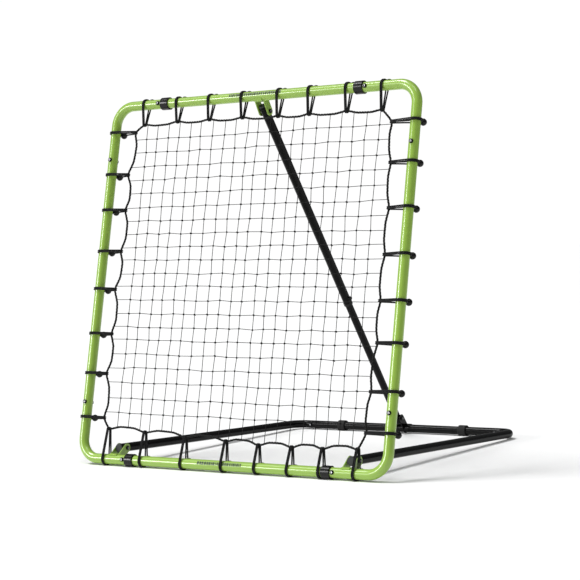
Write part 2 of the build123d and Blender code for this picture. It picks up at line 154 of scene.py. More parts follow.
def new_group(name, inputs, outputs):
    """An empty shader group with float or colour sockets, and its two end nodes."""
    group = bpy.data.node_groups.new(name, "ShaderNodeTree")
    for in_out, sockets in (("INPUT", inputs), ("OUTPUT", outputs)):
        for label, kind, value in sockets:
            socket = group.interface.new_socket(label, in_out=in_out, socket_type=f"NodeSocket{kind}")
            if value is not None:
                socket.default_value = value
    start = group.nodes.new("NodeGroupInput")
    end = group.nodes.new("NodeGroupOutput")
    return group, start, end


def use_group(tree, group, **values):
    """Places a shader group in a tree with its own values."""
    node = tree.nodes.new("ShaderNodeGroup")
    node.node_tree = group
    for key, value in values.items():
        node.inputs[key.replace("_", " ")].default_value = value
    return node


def colour(red, green, blue):
    return (red, green, blue, 1.0)


# %% [markdown]
# ## Shared effects
# Paint, plastic and bare metal all vary a little from place to place. *Mottle* gives a soft
# variation of colour and roughness at two scales, and a fine height for a bump: orange peel
# on a powder coat, or grain on moulded plastic. *Braid* reads the piece's own UV map, where one
# direction runs round the cord and the other along it, and puts out crossing plaits.

# %% Mottle group
mottle, start, end = new_group(
    "mottle",
    [("Base", "Color", colour(0.5, 0.5, 0.5)), ("Variation", "Float", 0.1),
     ("Grain Scale", "Float", 900.0), ("Patch Scale", "Float", 18.0),
     ("Roughness", "Float", 0.4), ("Roughness Spread", "Float", 0.1)],
    [("Color", "Color", None), ("Roughness", "Float", None), ("Height", "Float", None)])
link = mottle.links.new
where = add_node(mottle, "ShaderNodeTexCoord")
grain = add_node(mottle, "ShaderNodeTexNoise", in_Detail=2.0, in_Roughness=0.5)
patch = add_node(mottle, "ShaderNodeTexNoise", in_Detail=4.0, in_Roughness=0.6)
for noise, scale in ((grain, "Grain Scale"), (patch, "Patch Scale")):
    link(where.outputs["Object"], noise.inputs["Vector"])
    link(start.outputs[scale], noise.inputs["Scale"])
centred = add_node(mottle, "ShaderNodeMath", operation="SUBTRACT")
centred.inputs[1].default_value = 0.5
spread = add_node(mottle, "ShaderNodeMath", operation="MULTIPLY")
brighten = add_node(mottle, "ShaderNodeMath", operation="ADD")
brighten.inputs[1].default_value = 1.0
tint = add_node(mottle, "ShaderNodeVectorMath", operation="SCALE")
rough_spread = add_node(mottle, "ShaderNodeMath", operation="MULTIPLY_ADD")
link(patch.outputs["Fac"], centred.inputs[0])
link(centred.outputs[0], spread.inputs[0])
link(start.outputs["Variation"], spread.inputs[1])
link(spread.outputs[0], brighten.inputs[0])
link(start.outputs["Base"], tint.inputs[0])
link(brighten.outputs[0], tint.inputs["Scale"])
link(centred.outputs[0], rough_spread.inputs[0])
link(start.outputs["Roughness Spread"], rough_spread.inputs[1])
link(start.outputs["Roughness"], rough_spread.inputs[2])
link(tint.outputs[0], end.inputs["Color"])
link(rough_spread.outputs[0], end.inputs["Roughness"])
link(grain.outputs["Fac"], end.inputs["Height"])
print("group", mottle.name)

# %% Braid group
braid, start, end = new_group(
    "braid",
    [("Dark", "Color", colour(0.01, 0.01, 0.01)), ("Light", "Color", colour(0.05, 0.05, 0.05)),
     ("Around", "Float", 8.0), ("Along", "Float", 8.0)],
    [("Color", "Color", None), ("Height", "Float", None)])
link = braid.links.new
cord_uv = add_node(braid, "ShaderNodeUVMap", uv_map="cord")
split = add_node(braid, "ShaderNodeSeparateXYZ")
link(cord_uv.outputs["UV"], split.inputs[0])
plaits = []
for direction in (1, -1):
    around = add_node(braid, "ShaderNodeMath", operation="MULTIPLY")
    link(split.outputs["X"], around.inputs[0])
    link(start.outputs["Around"], around.inputs[1])
    along = add_node(braid, "ShaderNodeMath", operation="MULTIPLY")
    link(split.outputs["Y"], along.inputs[0])
    link(start.outputs["Along"], along.inputs[1])
    mixed = add_node(braid, "ShaderNodeMath", operation="MULTIPLY_ADD")
    link(around.outputs[0], mixed.inputs[0])
    mixed.inputs[1].default_value = direction
    link(along.outputs[0], mixed.inputs[2])
    turns = add_node(braid, "ShaderNodeMath", operation="MULTIPLY")
    turns.inputs[1].default_value = 2 * pi
    link(mixed.outputs[0], turns.inputs[0])
    wave = add_node(braid, "ShaderNodeMath", operation="SINE")
    link(turns.outputs[0], wave.inputs[0])
    plaits.append(wave)
crossed = add_node(braid, "ShaderNodeMath", operation="MAXIMUM")
link(plaits[0].outputs[0], crossed.inputs[0])
link(plaits[1].outputs[0], crossed.inputs[1])
raised = add_node(braid, "ShaderNodeMapRange")
raised.inputs["From Min"].default_value = -1.0
link(crossed.outputs[0], raised.inputs["Value"])
shades = add_node(braid, "ShaderNodeMix", data_type="RGBA")
link(raised.outputs[0], shades.inputs["Factor"])
link(start.outputs["Dark"], shades.inputs["A"])
link(start.outputs["Light"], shades.inputs["B"])
link(shades.outputs["Result"], end.inputs["Color"])
link(raised.outputs[0], end.inputs["Height"])
print("group", braid.name)

# %% [markdown]
# ## Paints, plastics and rubber
# They share one recipe with different numbers: a base colour that drifts a little, a roughness
# that drifts with it, and a fine bump. The green and black tubes are powder coated, which is a
# plastic film baked on steel, so they are not metallic. The green has a thin clear gloss.

# %% Mottled finishes


def mottled(name, base, rough, variation, grain_scale, bump_height, coat=0.0, patch_scale=18.0,
            rough_spread=0.12, bare_to=None, **sockets):
    """A paint, plastic or rubber from the mottle group. The pale colour given for a screw's
    socket is a painted highlight: it is painted where the piece's highlight attribute is 1."""
    material, tree, shader = new_material(name, Coat_Weight=coat, Coat_Roughness=0.12, **sockets)
    effect = use_group(tree, mottle, Base=colour(*base), Variation=variation,
                       Grain_Scale=grain_scale, Patch_Scale=patch_scale,
                       Roughness=rough, Roughness_Spread=rough_spread)
    bump = add_node(tree, "ShaderNodeBump", in_Strength=0.6, in_Distance=bump_height)
    tree.links.new(effect.outputs["Color"], shader.inputs["Base Color"])
    # Where the piece's attribute is 1 the colour is painted pale, a painted highlight in a screw's
    # socket.
    if bare_to:
        bare = add_node(tree, "ShaderNodeAttribute", attribute_name="bare")
        blend = add_node(tree, "ShaderNodeMix", data_type="RGBA")
        tree.links.new(bare.outputs["Fac"], blend.inputs["Factor"])
        tree.links.new(effect.outputs["Color"], blend.inputs["A"])
        blend.inputs["B"].default_value = bare_to
        tree.links.new(blend.outputs["Result"], shader.inputs["Base Color"])
    tree.links.new(effect.outputs["Roughness"], shader.inputs["Roughness"])
    tree.links.new(effect.outputs["Height"], bump.inputs["Height"])
    tree.links.new(bump.outputs["Normal"], shader.inputs["Normal"])
    return material


green_coat = mottled("green_powder_coat", (0.288, 0.472, 0.066), 0.30, 0.10, 900, 0.00004, coat=0.38)
black_coat = mottled("black_powder_coat", (0.0030, 0.0030, 0.0031), 0.25, 0.30, 1100, 0.00005,
                     Specular_IOR_Level=0.12)
sleeve_plastic = mottled("sleeve_plastic", (0.004, 0.004, 0.004), 0.26, 0.25, 1500, 0.00004,
                         Specular_IOR_Level=0.30)
cap_plastic = mottled("cap_plastic", (0.035, 0.038, 0.040), 0.52, 0.20, 1800, 0.00010,
                      Specular_IOR_Level=0.35)
foot_rubber = mottled("foot_rubber", (0.010, 0.010, 0.010), 0.70, 0.30, 1300, 0.00015,
                      Specular_IOR_Level=0.25)
bush_nylon = mottled("bush_nylon", (0.55, 0.55, 0.51), 0.45, 0.08, 1500, 0.00004,
                     Subsurface_Weight=0.1, Subsurface_Scale=0.002)
ball_plastic = mottled("ball_plastic", (0.004, 0.004, 0.004), 0.34, 0.30, 1200, 0.00004,
                       Specular_IOR_Level=0.25)
label_ink = mottled("label_ink", (0.014, 0.040, 0.006), 0.45, 0.15, 1500, 0.00002)
# The socket of each screw is painted pale grey, a painted highlight.
bolt_zinc = mottled("black_zinc", (0.012, 0.012, 0.014), 0.36, 0.35, 1500, 0.00004,
                    patch_scale=120.0, Metallic=0.85, bare_to=colour(0.55, 0.56, 0.56))
print("mottled finishes made")

# %% [markdown]
# ## Cords and twine
# The border rope, the elastic ties and the net's twine are textiles. They are matt with a soft
# sheen along their edges, and their plaits come from the braid group on each cord's own UV map.

# %% Braided finishes


def braided(name, dark, light, around, along, bump_height, rough=0.85, sheen=0.10):
    """A textile cord from the braid group."""
    material, tree, shader = new_material(name, Roughness=rough, Sheen_Weight=sheen,
                                          Sheen_Roughness=0.45, Specular_IOR_Level=0.15)
    effect = use_group(tree, braid, Dark=colour(*dark), Light=colour(*light),
                       Around=around, Along=along)
    bump = add_node(tree, "ShaderNodeBump", in_Strength=0.8, in_Distance=bump_height)
    tree.links.new(effect.outputs["Color"], shader.inputs["Base Color"])
    tree.links.new(effect.outputs["Height"], bump.inputs["Height"])
    tree.links.new(bump.outputs["Normal"], shader.inputs["Normal"])
    return material


rope_fibre = braided("border_cord", (0.003, 0.003, 0.003), (0.012, 0.012, 0.012), 5, 1.6, 0.0003)
elastic_fibre = braided("elastic_cord", (0.003, 0.003, 0.003), (0.010, 0.010, 0.011), 6, 2.4, 0.0002)
twine_fibre = braided("net_twine", (0.004, 0.004, 0.004), (0.014, 0.014, 0.014), 2, 0.5, 0.0001,
                      sheen=0.05)
print("braided finishes made")

# %% [markdown]
# ## Finishes on the measured pieces
# A tube, bracket, sleeve, cap or foot already has its right shape, so it keeps its own mesh and
# only gets a better finish. The record names each piece's material slot, and one table turns a
# slot into a finish.

# %% Dress the measured pieces
FINISHES = {"green_powder_coat": green_coat, "black_powder_coat": black_coat,
            "foot_rubber": foot_rubber, "black_plastic": sleeve_plastic,
            "grey_plastic": cap_plastic, "bush_nylon": bush_nylon, "black_steel": bolt_zinc,
            "net_twine": twine_fibre, "border_cord": rope_fibre,
            "elastic_cord": elastic_fibre, "ball_plastic": ball_plastic}
for part in frame["record"]["subparts"]:
    mesh = nodes[part["node"]].data
    mesh.materials.clear()
    mesh.materials.append(FINISHES[part["material_slot"]])

# %% [markdown]
# ## Making meshes
# A new piece is built in a bmesh and turned into an object at the origin, so that its place is
# in its mesh. `finish_piece` also says which body the piece moves with and which measured pieces
# it stands for.

# %% Helpers for meshes
SHARP_ANGLE = radians(38)


def linked(name, data):
    """An object with this data, in the scene."""
    piece = bpy.data.objects.new(name, data)
    bpy.context.scene.collection.objects.link(piece)
    return piece


def object_from(bm, name, material, sharp=SHARP_ANGLE):
    """A smooth-shaded object from a bmesh, with its hard edges marked."""
    bm.normal_update()
    for bm_face in bm.faces:
        bm_face.smooth = True
    for edge in bm.edges:
        edge.smooth = len(edge.link_faces) != 2 or edge.calc_face_angle() < sharp
    mesh = bpy.data.meshes.new(name)
    bm.to_mesh(mesh)
    bm.free()
    mesh.materials.append(material)
    return linked(name, mesh)


def finish_piece(piece, body, slot, *stands_for):
    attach(piece, body)
    if stands_for:
        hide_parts(*stands_for)
    print(f"{piece.name}: {len(piece.data.polygons)} faces on {body}")


def turned(bm, rings, count):
    """Adds a closed turned shape about Z. A ring is (height, radius), or (height, function of
    angle) where the section isn't round."""
    loops = []
    for height, radius in rings:
        loop = []
        for step in range(count):
            angle = 2 * pi * step / count
            r = radius(angle) if callable(radius) else radius
            loop.append(bm.verts.new((r * cos(angle), r * sin(angle), height)))
        loops.append(loop)
    for below, above in zip(loops, loops[1:]):
        for step in range(count):
            after = (step + 1) % count
            bm.faces.new((below[step], below[after], above[after], above[step]))
    bm.faces.new(loops[0][::-1])
    bm.faces.new(loops[-1])


def hexagon(flats):
    """The radius of a hexagon at any angle, from the distance across its flats."""
    return lambda angle: flats / 2 / cos((angle + pi / 6) % (pi / 3) - pi / 6)


# %% [markdown]
# ## Placing repeats with Geometry Nodes
# Bolts, nuts and balls are each modelled once, standing on the origin and facing up. A
# Geometry Nodes tree then puts a copy on each point of a small mesh, turned so that its own
# up points along the attribute *facing*. The copies are realised and made into one plain mesh.

# %% Tree that places a piece on points


def geometry_tree(name, *inputs):
    """A tree whose inputs are geometry, the named ones and a finish, and its two end nodes."""
    tree = bpy.data.node_groups.new(name, "GeometryNodeTree")
    for label, kind in (("Geometry", "Geometry"), *inputs, ("Finish", "Material")):
        tree.interface.new_socket(label, in_out="INPUT", socket_type=f"NodeSocket{kind}")
    tree.interface.new_socket("Geometry", in_out="OUTPUT", socket_type="NodeSocketGeometry")
    return tree, tree.nodes.new("NodeGroupInput"), tree.nodes.new("NodeGroupOutput")


def end_tree(tree, geometry, start, end):
    """Makes the copies real, gives them the finish and puts them out."""
    real = tree.nodes.new("GeometryNodeRealizeInstances")
    dress = tree.nodes.new("GeometryNodeSetMaterial")
    tree.links.new(geometry, real.inputs["Geometry"])
    tree.links.new(real.outputs["Geometry"], dress.inputs["Geometry"])
    tree.links.new(start.outputs["Finish"], dress.inputs["Material"])
    tree.links.new(dress.outputs["Geometry"], end.inputs["Geometry"])
    return tree


def placing_tree():
    tree, start, end = geometry_tree("place on points", ("Piece", "Object"), ("Size", "Float"))
    source = tree.nodes.new("GeometryNodeObjectInfo")
    facing = add_node(tree, "GeometryNodeInputNamedAttribute", data_type="FLOAT_VECTOR",
                      in_Name="facing")
    align = add_node(tree, "FunctionNodeAlignRotationToVector", axis="Z")
    copies = tree.nodes.new("GeometryNodeInstanceOnPoints")
    link = tree.links.new
    link(start.outputs["Geometry"], copies.inputs["Points"])
    link(start.outputs["Piece"], source.inputs["Object"])
    link(source.outputs["Geometry"], copies.inputs["Instance"])
    link(facing.outputs["Attribute"], align.inputs["Vector"])
    link(align.outputs["Rotation"], copies.inputs["Rotation"])
    link(start.outputs["Size"], copies.inputs["Scale"])
    return end_tree(tree, copies.outputs["Instances"], start, end)


PLACING = placing_tree()

# %% Helpers that run a tree


def line_object(name, points, edges=()):
    """A mesh of loose points, and lines between them, for a tree to work on."""
    mesh = bpy.data.meshes.new(name)
    mesh.from_pydata(points, edges, [])
    return linked(name, mesh)


def grown(carrier, tree, name, **values):
    """Runs a tree on a carrier, keeps what it makes as one plain object, and removes the
    carrier. Values go to the tree's inputs by each socket's identifier."""
    modifier = carrier.modifiers.new("grow", "NODES")
    modifier.node_group = tree
    for item in tree.interface.items_tree:
        if item.in_out == "INPUT" and item.name.replace(" ", "_") in values:
            modifier[item.identifier] = values[item.name.replace(" ", "_")]
    bpy.context.view_layer.update()
    evaluated = carrier.evaluated_get(bpy.context.evaluated_depsgraph_get())
    mesh = bpy.data.meshes.new_from_object(evaluated)
    mesh.name = name
    bpy.data.objects.remove(carrier)
    return linked(name, mesh)


def smoothed(piece):
    for polygon in piece.data.polygons:
        polygon.use_smooth = True
    return piece


def placed_set(name, template, places, finish):
    """Copies of a template on (place, facing) pairs, as one plain object."""
    carrier = line_object(f"{name}_places", [point for point, _ in places])
    facing = carrier.data.attributes.new("facing", "FLOAT_VECTOR", "POINT")
    for item, (_, way) in zip(facing.data, places):
        item.vector = way
    return grown(carrier, PLACING, name, Piece=template, Size=1.0, Finish=finish)


# %% [markdown]
# ## Bolts and nuts
# The frame is held by black button-head socket screws with locking nuts. A head is a turned
# dome with a hexagonal socket sunk in it, and the same list of rings goes on down the shank.
# The turned shape starts at the socket's floor, climbs its wall, crosses the dome, and comes
# down the outside to the shank and its end, so that one closed skin makes the whole screw.

# %% Screw and nut templates
head_r, head_height, shank_r = 7.0 * MM, 4.5 * MM, 4.0 * MM
socket_flats, socket_depth = 5.0 * MM, 2.4 * MM
nut_flats, nut_height, tail = 13.0 * MM, 6.0 * MM, 2.0 * MM
ROUND = 36


def screw(name, grip, seat_drop=0.0):
    """A screw along Z. Its head stands on the origin, and grip is its length below that.
    seat_drop sinks the head's rim so that it meets a round tube."""
    bm = bmesh.new()
    socket = hexagon(socket_flats)
    dome = [(head_height * sin(a), head_r * (0.62 + 0.38 * cos(a) ** 0.7)) for a in
            (radians(d) for d in (0, 12, 24, 38, 52, 66, 80))]
    rings = [(-grip, shank_r * 0.8), (-grip + 0.6 * MM, shank_r), (-seat_drop, shank_r),
             (-seat_drop, head_r * 0.985), (-seat_drop + 0.15 * MM, head_r)]
    rings += [(max(z, 0.3 * MM), r) for z, r in dome]
    rings += [(head_height, head_r * 0.58), (head_height, lambda a: socket(a) + 0.35 * MM),
              (head_height - 0.3 * MM, socket), (head_height - socket_depth, socket),
              (head_height - socket_depth - 0.3 * MM, 0.6 * MM)]
    turned(bm, rings, ROUND)
    # The socket's faces are marked to be painted pale, a painted highlight.
    bare = [vertex.co.length < socket_flats * 0.62 or (
        vertex.co.z > 0 and hypot(vertex.co.x, vertex.co.y) < socket_flats * 0.6)
        for vertex in bm.verts]
    template = object_from(bm, name, bolt_zinc)
    template.data.attributes.new("bare", "FLOAT", "POINT").data.foreach_set("value", bare)
    return template


def nut(name):
    """A locking nut with chamfered corners and a round collar, standing on the origin."""
    bm = bmesh.new()
    body = hexagon(nut_flats)
    round_off = lambda angle: min(body(angle), nut_flats / 2 * 1.06)
    collar = nut_height * 0.72
    rings = [(0, round_off), (0.5 * MM, body), (collar - 0.5 * MM, body), (collar, round_off),
             (collar, nut_flats * 0.43), (nut_height - 0.5 * MM, nut_flats * 0.43),
             (nut_height, nut_flats * 0.39), (nut_height, shank_r * 1.02),
             (nut_height + tail - 0.5 * MM, shank_r), (nut_height + tail, shank_r * 0.82)]
    turned(bm, rings, ROUND)
    return object_from(bm, name, bolt_zinc)


def seat_of(radius, reach):
    """How far below a round tube's crown a head or nut of that reach meets it."""
    return radius - (radius ** 2 - reach ** 2) ** 0.5


def fastened(name, body, grip, heads, seats, bolt_nodes, nut_nodes, seat_drop=0.0):
    """A set of screws and a set of nuts on (place, facing) pairs."""
    for kind, template, places, stands_for in (
            ("bolt", screw(f"{name}_screw", grip, seat_drop), heads, bolt_nodes),
            ("nut", nut(f"{name}_nut"), seats, nut_nodes)):
        fasteners = placed_set(f"{name}_{kind}_set", template, places, bolt_zinc)
        finish_piece(fasteners, body, "black_steel", *stands_for)
        bpy.data.objects.remove(template)


# %% Bolts through the tubes
joint_reach = 181.0 * MM
SIGNS = [(across, up) for across in (-1, 1) for up in (-1, 1)]
frame_joints = [place(across * (half - joint_reach), up * half) for across, up in SIGNS]
frame_joints += [place(across * half, up * (half - joint_reach)) for across, up in SIGNS]
rear_low, rear_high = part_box("rear_joint_bolts")
rear_x = (rear_high.x - rear_low.x) / 2 - head_r
rear_middle = middle_of("rear_tube")
rear_joints = [rear_middle + RIGHT * (side * rear_x) for side in (-1, 1)]
STRAIGHT_BACK = Vector((0, 1, 0))

for name, places, radius, front, body in (
        ("frame", frame_joints, tube_r, FRONT, "net_frame"),
        ("rear", rear_joints, base_r, -STRAIGHT_BACK, "base")):
    sunk = radius - seat_of(radius, nut_flats / 2) * 0.5
    fastened(name, body, 2 * radius, [(p + front * radius, front) for p in places],
             [(p - front * sunk, -front) for p in places], [f"{name}_joint_bolts"],
             [f"{name}_joint_nuts"], seat_of(radius, head_r))

# %% Pivot bolts through the brackets


def pivot_ends(bolt_node):
    """Where a pivot bolt's head stands, and the bolt's length below its head, from its measured box.
    """
    low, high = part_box(bolt_node)
    centre = (low + high) / 2
    return Vector((high.x - head_height, centre.y, centre.z)), high.x - head_height - low.x


def pivot_set(name, body, bolt_nodes):
    heads = [pivot_ends(node) for node in bolt_nodes]
    length = heads[0][1]
    seat = length - nut_height - tail
    fastened(name, body, length - nut_height * 0.5 - tail, [(p, RIGHT) for p, _ in heads],
             [(p - RIGHT * seat, -RIGHT) for p, _ in heads], bolt_nodes,
             [node.replace("bolt", "nut") for node in bolt_nodes])


pivot_set("pivot", "net_frame", ["arm_pivot_bolt_left", "arm_pivot_bolt_right", "strut_top_bolt"])
pivot_set("foot_pivot", "base", ["strut_foot_bolt"])

# %% [markdown]
# ## Weld beads
# The ear brackets are welded to their tubes, and the paint covers the welds. A weld is a row of
# small overlapping drops along the line where two pieces meet. The line is drawn as an arc
# round the tube, and a Geometry Nodes tree steps along it and sets a drop at each step.

# %% Tree for weld beads


def weld_tree():
    tree, start, end = geometry_tree("weld beads", ("Bead Pitch", "Float"),
                                     ("Bead Size", "Float"), ("Seed", "Int"))
    curves = tree.nodes.new("GeometryNodeMeshToCurve")
    steps = add_node(tree, "GeometryNodeResampleCurve", mode="LENGTH")
    drop = add_node(tree, "GeometryNodeMeshIcoSphere", in_Subdivisions=2)
    swell = add_node(tree, "FunctionNodeRandomValue", data_type="FLOAT")
    # This node's float sockets come after vector ones of the same names, so they go by number.
    swell.inputs[2].default_value, swell.inputs[3].default_value = 0.85, 1.15
    copies = tree.nodes.new("GeometryNodeInstanceOnPoints")
    link = tree.links.new
    link(start.outputs["Geometry"], curves.inputs["Mesh"])
    link(curves.outputs["Curve"], steps.inputs["Curve"])
    link(start.outputs["Bead Pitch"], steps.inputs["Length"])
    link(start.outputs["Bead Size"], drop.inputs["Radius"])
    link(start.outputs["Seed"], swell.inputs["Seed"])
    link(steps.outputs["Curve"], copies.inputs["Points"])
    link(drop.outputs["Mesh"], copies.inputs["Instance"])
    link(swell.outputs[1], copies.inputs["Scale"])
    return end_tree(tree, copies.outputs["Instances"], start, end)


WELD = weld_tree()

# %% Welds on the brackets
bead_pitch, bead_size, bead_sink = 1.9 * MM, 2.6 * MM, 0.6 * MM
ear_outer, ear_tilt, ear_spread = 18 * MM, 48.7, 58
saddle_half, saddle_tilt, saddle_spread = 38 * MM, 124.4, 84
WELD_STEPS = 16


def weld_arc(centre, radius, start_way, turn_way, tilt, spread):
    """Points round a tube: tilt is measured from one direction towards the other, in degrees."""
    angles = [radians(tilt - spread + 2 * spread * step / WELD_STEPS)
              for step in range(WELD_STEPS + 1)]
    reach = radius - bead_sink
    return [centre + start_way * (reach * cos(a)) + turn_way * (reach * sin(a)) for a in angles]


def welded(name, arcs, body, slot, finish):
    points, edges = [], []
    for arc in arcs:
        edges += [(len(points) + i, len(points) + i + 1) for i in range(len(arc) - 1)]
        points += arc
    beads = grown(line_object(f"{name}_lines", points, edges), WELD, name, Bead_Pitch=bead_pitch,
                  Bead_Size=bead_size, Seed=4, Finish=finish)
    finish_piece(smoothed(beads), body, slot)


frame_arcs = []
for bracket, up, turn_way in (("arm_bracket_left", -half, UP), ("arm_bracket_right", -half, UP),
                              ("strut_bracket_top", half, -UP)):
    across = middle_of(bracket).x
    for side in (-1, 1):
        frame_arcs.append(weld_arc(place(across + side * ear_outer, up), tube_r, BACK, turn_way,
                                   ear_tilt, ear_spread))
welded("bracket_welds", frame_arcs, "net_frame", "green_powder_coat", green_coat)
base_arcs = [weld_arc(rear_middle + RIGHT * (side * saddle_half), base_r, STRAIGHT_BACK,
                      Vector((0, 0, 1)), saddle_tilt, saddle_spread) for side in (-1, 1)]
welded("saddle_welds", base_arcs, "base", "black_powder_coat", black_coat)

# %% [markdown]
# ## Cords as meshes
# A cord needs a UV map that runs round and along it, for its plaits. This helper carries a small
# ring along a line of points without twisting it, closes the tube, and writes that map in
# units of the cord's own girth, so that one braid setting suits every length.

# %% Tube with a cord map


def carried_rings(points, first_normal):
    """A pair of cross directions at each point of a closed line, carried along without twist."""
    ways = [(after - before).normalized()
            for before, after in zip(points[-1:] + points[:-1], points[1:] + points[:1])]
    normal = (first_normal - ways[0] * first_normal.dot(ways[0])).normalized()
    pairs = []
    for way in ways:
        normal = (normal - way * normal.dot(way)).normalized()
        pairs.append((normal.copy(), way.cross(normal)))
    return pairs


def add_cord(bm, points, radius, sides, first_normal):
    """Adds a closed round cord along points. first_normal is square to a flat cord's plane."""
    uv_layer = bm.loops.layers.uv.get("cord") or bm.loops.layers.uv.new("cord")
    rings, lengths, travelled = [], [], 0.0
    for index, (normal, across) in enumerate(carried_rings(points, first_normal)):
        lengths.append(travelled / (2 * pi * radius))
        travelled += (points[(index + 1) % len(points)] - points[index]).length
        rings.append([bm.verts.new(points[index] + (normal * cos(2 * pi * step / sides)
                                                    + across * sin(2 * pi * step / sides)) * radius)
                      for step in range(sides)])
    lengths.append(travelled / (2 * pi * radius))
    for index, here in enumerate(rings):
        there = rings[(index + 1) % len(rings)]
        for step in range(sides):
            after = (step + 1) % sides
            bm_face = bm.faces.new((here[step], here[after], there[after], there[step]))
            corners = ((step, index), (step + 1, index), (step + 1, index + 1), (step, index + 1))
            for loop, (turn_step, row) in zip(bm_face.loops, corners):
                loop[uv_layer].uv = (turn_step / sides, lengths[row])


# %% [markdown]
# ## Where the ties hold the rope
# Each side of the square has eight ties. They were hooked on by hand, so they are not quite
# evenly spaced, and the rope is not quite the same distance from the tube at each. The lists
# say how far a side's first and last tie are from its corners, how far each tie has slipped
# from its even place, and how far from the tube it holds the rope. They run left to right
# along the top and bottom and downwards at the sides, in millimetres.

# %% Places of the ties
TIE_ENDS = {"top": (121, 121), "bottom": (101, 107), "left": (90, 132), "right": (114, 121)}
TIE_NUDGES = {"top": (0, 6, 4, 4, 11, -3, 4, 0), "bottom": (0, 14, 42, 64, 52, 38, 13, 0),
              "left": (0, 7, -9, -7, -16, -4, -9, 0), "right": (0, -8, -3, 4, 9, 1, 12, 0)}
TIE_REACHES = {"top": (64, 61, 62, 64, 68, 69, 69, 73), "bottom": (95, 89, 81, 74, 67, 66, 66, 70),
               "left": (83, 69, 73, 72, 63, 68, 64, 73), "right": (81, 74, 67, 68, 70, 68, 76, 81)}
SAGS = {"top": 8 * MM, "bottom": 12 * MM, "left": 17 * MM, "right": 9 * MM}
SAG_PLACES = (0.3, 0.7)
BALL_TURNS = {"top": 32, "bottom": -16, "left": -20, "right": 16}
# Each side: the middle of its tube, the direction of its list, and its way towards the net.
SIDES = {"top": (Vector((0, half)), Vector((1, 0)), Vector((0, -1))),
         "right": (Vector((half, 0)), Vector((0, -1)), Vector((-1, 0))),
         "bottom": (Vector((0, -half)), Vector((1, 0)), Vector((0, 1))),
         "left": (Vector((-half, 0)), Vector((0, -1)), Vector((1, 0)))}


def hooks(side):
    """(place on the tube, place on the rope, their distance), flat, for each tie of a side."""
    tube, along, inward = SIDES[side]
    first, last = TIE_ENDS[side]
    pitch = (2 * half / MM - first - last) / (len(TIE_REACHES[side]) - 1)
    found = []
    for index, (nudge, reach) in enumerate(zip(TIE_NUDGES[side], TIE_REACHES[side])):
        crossing = tube + along * ((first + index * pitch + nudge) * MM - half)
        found.append((crossing, crossing + inward * (reach * MM), reach * MM))
    return found


def side_ways(side):
    """A side's direction and its way towards the net, in the room."""
    return [RIGHT * way.x + UP * way.y for way in SIDES[side][1:]]


def rope_side(side):
    """The rope's points along one side: it sags towards the net between two ties."""
    inward = SIDES[side][2]
    held = [rope for _, rope, _ in hooks(side)]
    points = [held[0]]
    for here, there in zip(held, held[1:]):
        points += [here.lerp(there, part) + inward * SAGS[side] for part in SAG_PLACES]
        points.append(there)
    return points


rope_corners = (rope_side("top") + rope_side("right") + rope_side("bottom")[::-1]
                + rope_side("left")[::-1])
print("rope route has", len(rope_corners), "points")

# %% [markdown]
# ## The border rope
# The rope bends at each tie and at each place where the net pulls on it. Cutting the corners of
# its route, first a little and then by a quarter, softens them but keeps each one's place. The
# rope itself is laid from three strands, which wind round the line, so that it has a real
# twist in its outline.

# %% Rope line


def softened(points, shares):
    """Corner cutting on a closed route, once for each share of a run that is cut off."""
    for share in shares:
        cut = []
        for here, there in zip(points, points[1:] + points[:1]):
            cut += [here.lerp(there, share), here.lerp(there, 1 - share)]
        points = cut
    return points


rope_line = softened(rope_corners, (0.12, 0.25))


def even_steps(points, step):
    """A closed flat line divided into even steps of nearly that length."""
    runs = list(zip(points, points[1:] + points[:1]))
    total = sum((there - here).length for here, there in runs)
    count = round(total / step)
    spaced, travelled, due = [], 0.0, 0.0
    for here, there in runs:
        length = (there - here).length
        while due < travelled + length - 1e-9 and len(spaced) < count:
            spaced.append(here.lerp(there, (due - travelled) / length))
            due += total / count
        travelled += length
    return spaced, total


# %% Laid rope
rope_r = 3.75 * MM
strand_r = 2.0 * MM
strand_offset = rope_r - strand_r
lay_length = 30 * MM
steps_per_lay = 8
strand_count, strand_sides = 3, 6

rope_points, rope_length = even_steps(rope_line, lay_length / steps_per_lay)
lays = round(rope_length / lay_length)
core = [place(point.x, point.y) for point in rope_points]
core_pairs = carried_rings(core, BACK)
bm = bmesh.new()
for strand in range(strand_count):
    winding = []
    for index, (point, (normal, across)) in enumerate(zip(core, core_pairs)):
        angle = 2 * pi * (lays * index / len(core) + strand / strand_count)
        winding.append(point + (normal * cos(angle) + across * sin(angle)) * strand_offset)
    add_cord(bm, winding, strand_r, strand_sides, BACK)
rope = object_from(bm, "laid_border_rope", rope_fibre, sharp=pi)
finish_piece(rope, "net_frame", "border_cord", "border_rope")
print(f"border rope {rope_length:.3f} m long, {lays} lays")

# %% [markdown]
# ## The elastic ties
# Each tie is a doubled loop of round elastic. It goes in front of the tube, over it, down behind
# and round the rope. In front the two strands lie together, and behind they spread to let the
# ball sit between them. A loop is drawn flat in the plane across the tube, and each point is
# then pushed sideways by an amount that depends on how far behind the tube it is.

# %% Elastic loops
elastic_r = 2.4 * MM
contact_gap = 0.25 * MM
wrap_r = tube_r + contact_gap + elastic_r
hook_r = rope_r + contact_gap + elastic_r
together, apart = 2.5 * MM, 4.6 * MM
most_skew = 1.2 * MM
ARC_STEPS, HOOK_STEPS, RUN_STEPS = 16, 8, 5
elastic_sides = 8


